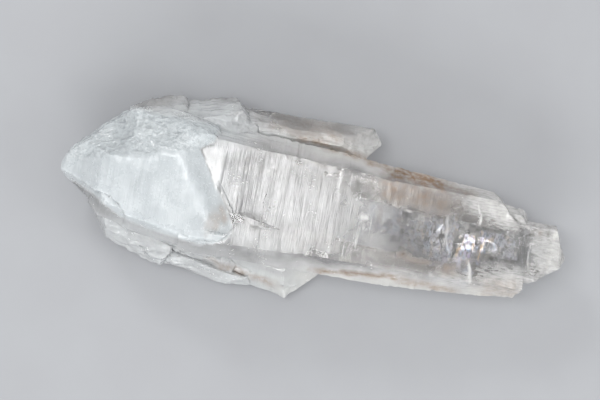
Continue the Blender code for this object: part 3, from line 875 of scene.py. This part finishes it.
def quartz_bumps(tree, shader, in_mm, zone, cloudy, grain, dashes, etching):
    """Links the normal, through one bump node for each layer of relief."""
    place = add_node(tree, MAPPING, vector=in_mm, scale=LINES_PER_MM)
    growth_lines = add_node(tree, NOISE, vector=place, scale=1.0, detail=4.0, roughness=0.6)
    patches = add_node(tree, NOISE, vector=in_mm, scale=PATCHES_PER_MM, detail=3.0)
    patchy = add_node(tree, SPREAD, value=patches, from_min=0.42, from_max=0.62, to_min=0.35)
    ruled = add_node(tree, MATH, TIMES, i0=patchy, i1=cloudy)
    ruled = add_node(tree, MATH, ADD, i0=ruled, i1=FAINTEST)

    on_root = add_node(tree, MATH, TIMES, i0=zone["broken"], i1=0.25)
    on_upper = add_node(tree, MATH, TIMES, i0=zone["upper_facet"], i1=0.3)
    on_root = add_node(tree, MATH, ADD, i0=on_root, i1=on_upper)
    on_etched = add_node(tree, MATH, TIMES, i0=etching, i1=0.3)
    grainy = add_node(tree, MATH, ADD, i0=on_root, i1=on_etched)

    place = add_node(tree, MAPPING, vector=in_mm, scale=FLAKES_PER_MM)
    flakes = add_node(tree, NOISE, vector=place, scale=1.0, detail=1.5, roughness=0.5)
    treads = add_node(tree, MATH, SNAP_TO, i0=flakes, i1=FLAKE_STEP)
    slopes = add_node(tree, MATH, TIMES, i0=flakes, i1=0.4)
    flakes = add_node(tree, MATH, ADD, i0=treads, i1=slopes)

    place = add_node(tree, MAPPING, vector=in_mm, scale=SPLINTERS_PER_MM)
    splinters = add_node(tree, NOISE, vector=place, scale=1.0, detail=1.5, roughness=0.5)
    treads = add_node(tree, MATH, SNAP_TO, i0=splinters, i1=SPLINTER_STEP)
    splinters = add_node(tree, MATH, ADD, i0=splinters, i1=treads)

    bump = None
    for strength, distance, height in (
        (ruled, LINE_BUMP, growth_lines),
        (grainy, GRAIN_BUMP, grain),
        (zone["rugged"], FLAKE_BUMP, flakes),
        (zone["upper_facet"], SPLINTER_BUMP, splinters),
        (zone["worn_end"], DASH_BUMP, dashes),
    ):
        below = {"normal": bump} if bump else {}
        bump = add_node(tree, BUMP, strength=strength, distance=distance, height=height, **below)
    wire(shader, normal=bump)


print("growth lines per mm:", LINES_PER_MM[0])

# %% [markdown]
# ## The whole material
#
# Quartz has an IOR of 1.544 and hardly any tint of its own, so its absorption is weak and a little warm.
# The values that are the same all over the crystal are set straight on the shader.

# %% Make the quartz material
QUARTZ_IOR = 1.544
SCATTER_DEPTH = 2.0 * MM
TINT_OF_DEPTH, TINT_DENSITY = "#e9e2da", 9.0


def rock_crystal():
    """Rock crystal: clear where it has no milk, with gloss and relief by zone. Its milk carries painted light
    too.
    """
    material, tree, shader = new_material("rock_crystal")
    place = add_node(tree, "ShaderNodeTexCoord").outputs["Object"]
    in_mm = add_node(tree, "ShaderNodeVectorMath", {"operation": "SCALE"}, i0=place, scale=1 / MM)
    zone = {
        name: add_node(tree, "ShaderNodeAttribute", {"attribute_name": name}).outputs["Fac"] for name in MASKS
    }
    dash_place = add_node(tree, MAPPING, vector=in_mm, scale=DASHES_PER_MM)
    dashes = add_node(tree, NOISE, vector=dash_place, scale=1.0, detail=3.0, roughness=0.6)
    grain = add_node(tree, NOISE, vector=in_mm, scale=GRAINS_PER_MM, detail=2.0, roughness=0.6)
    cloudy = add_node(tree, MATH, {"operation": "SUBTRACT"}, i0=1.0, i1=zone["clear"])
    quartz_colour(tree, shader, in_mm, zone, dashes)
    etching = quartz_gloss(tree, shader, in_mm, zone, cloudy, grain)
    quartz_bumps(tree, shader, in_mm, zone, cloudy, grain, dashes, etching)
    wire(shader, ior=QUARTZ_IOR, subsurface_weight=1.0)
    wire(shader, subsurface_radius=(1.0, 1.0, 1.0), subsurface_scale=SCATTER_DEPTH)
    depth = add_node(tree, "ShaderNodeVolumeAbsorption", color=TINT_OF_DEPTH, density=TINT_DENSITY)
    wire(tree.nodes["Material Output"], volume=depth)
    return material


crystal.data.materials.append(rock_crystal())
print("material:", crystal.data.materials[0].name)

# %% [markdown]
# ## Healed fractures
#
# The clear end is not empty. Old cracks inside it have healed and left films of tiny hollows, which
# catch the light like foil when they lie square to it. Each film is a thin curved sheet inside the
# crystal, tilted its own way and crumpled a little by noise.

# %% Make the sheets
FILMS = (
    # centre, length and width in mm, tilt about X and Y in degrees, and sag in mm
    ((34.4, -2.4, 8.0), (5.6, 6.2), (1.0, -1.0), 0.15),
    ((40.5, -0.4, 9.0), (9.0, 5.0), (-2.0, 1.0), 0.3),
    ((25.0, -1.6, 9.0), (11.0, 7.0), (14.0, -10.0), 0.8),
    ((27.5, 3.0, 8.0), (8.0, 4.0), (-16.0, 8.0), 0.6),
    ((15.0, 0.5, 10.0), (8.0, 6.0), (10.0, 12.0), 0.9),
    ((30.0, -6.2, 8.0), (12.0, 3.0), (20.0, -6.0), 0.5),
)
FILM_CELLS = 14
CRUMPLES = ((3.0, 0.12, 61.0), (1.5, 0.07, 67.0))


def film(centre, size, tilt, sag):
    """A sheet of quads, curved and tilted about its centre: its corners in mm, and its faces."""
    steps = np.linspace(-0.5, 0.5, FILM_CELLS + 1)
    across, along = (share.ravel() for share in np.meshgrid(steps, steps))
    bulge = sag * np.cos(math.pi * across) * np.cos(math.pi * along)
    sheet = np.stack([across * size[0], along * size[1], bulge], axis=1)
    sheet += sum(wander(sheet + centre, *crumple) for crumple in CRUMPLES)
    turn = Euler([math.radians(angle) for angle in (*tilt, 0.0)]).to_matrix()
    row = FILM_CELLS + 1
    starts = [r * row + c for r in range(FILM_CELLS) for c in range(FILM_CELLS)]
    return sheet @ np.array(turn).T + centre, [(a, a + 1, a + row + 1, a + row) for a in starts]


film_corners, film_faces = [], []
for centre, size, tilt, sag in FILMS:
    sheet, quads = film(np.array(centre), size, tilt, sag)
    film_faces += [tuple(i + len(film_corners) for i in quad) for quad in quads]
    film_corners += list(sheet)
films = make_piece("healed_fractures", np.array(film_corners), film_faces, {})
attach(films, "root")
print("healed fractures:", len(FILMS), "films,", 2 * len(film_faces), "triangles")

# %% [markdown]
# ## The film in a healed crack
#
# A film is a crowd of flat hollows with gaps between them. Two noises, one fine and one broad, leave it
# solid in specks within patches and clear elsewhere. Its flash is painted: round one fixed spot it is
# coloured with faint tints, blue, violet and peach, that change from speck to speck, as a real film flashes
# where it lies square to the light. Away from that spot it is grey.

# %% Make the film material with its painted flash
HOLLOWS_PER_M = (2200.0, 900.0, 900.0)  # far coarser than the real ones, so that they show
SPECK_COVER, PATCH_COVER, PATCH_SCALE = (0.41, 0.54), (0.38, 0.50), 0.22
# painted flash colours: the tints a film shows where light catches it
PAINTED_FLASH_TINT_SCALE, PAINTED_FLASH_TINTS = 0.55, {
    0.36: "#bccbe8",
    0.44: "#d8dadc",
    0.50: "#cdc0e4",
    0.56: "#dcdcdc",
    0.64: "#eed2b2",
}
FILM_GREY, GREYEST = "#babdc1", 0.72
# painted flash: the tints are painted round this fixed spot and fade to grey away from it
PAINTED_FLASH_SPOT, PAINTED_FLASH_REACH = (34.6 * MM, -2.2 * MM, 8.0 * MM), (2.4 * MM, 6.5 * MM)
FILM_METALLIC, FILM_ROUGHNESS = 0.14, 0.10


def fracture_film():
    """A patchy film of small hollows, with faint tints painted round one fixed spot as its flash."""
    material, tree, shader = new_material("fracture_film")
    place = add_node(tree, "ShaderNodeTexCoord").outputs["Object"]
    hollows = add_node(tree, MAPPING, vector=place, scale=HOLLOWS_PER_M)
    fine = add_node(tree, NOISE, vector=hollows, scale=1.0, detail=6.0, roughness=0.7)
    broad = add_node(tree, NOISE, vector=hollows, scale=PATCH_SCALE, detail=4.0)
    specks, patches = (
        add_node(tree, SPREAD, value=texture, from_min=low, from_max=high)
        for texture, (low, high) in ((fine, SPECK_COVER), (broad, PATCH_COVER))
    )
    cover = add_node(tree, MATH, TIMES, i0=specks, i1=patches)

    spots = add_node(tree, NOISE, vector=hollows, scale=PAINTED_FLASH_TINT_SCALE, detail=1.0)
    painted_flash_tints = add_node(tree, "ShaderNodeValToRGB", fac=spots)
    bands = painted_flash_tints.color_ramp.elements
    for share, colour in PAINTED_FLASH_TINTS.items():
        bands.new(share).color = linear(colour)
    bands.remove(bands[-1])
    bands.remove(bands[0])
    near, far = PAINTED_FLASH_REACH
    away = add_node(tree, "ShaderNodeVectorMath", {"operation": "DISTANCE"}, i0=place, i1=PAINTED_FLASH_SPOT)
    grey = add_node(tree, SPREAD, value=away, from_min=near, from_max=far, to_max=GREYEST)
    colour = add_node(tree, MIX, COLOUR, factor=grey, a=painted_flash_tints, b=FILM_GREY)
    wire(shader, base_color=colour, alpha=cover, metallic=FILM_METALLIC, roughness=FILM_ROUGHNESS)
    return material


films.data.materials.append(fracture_film())
print("material:", films.data.materials[0].name)
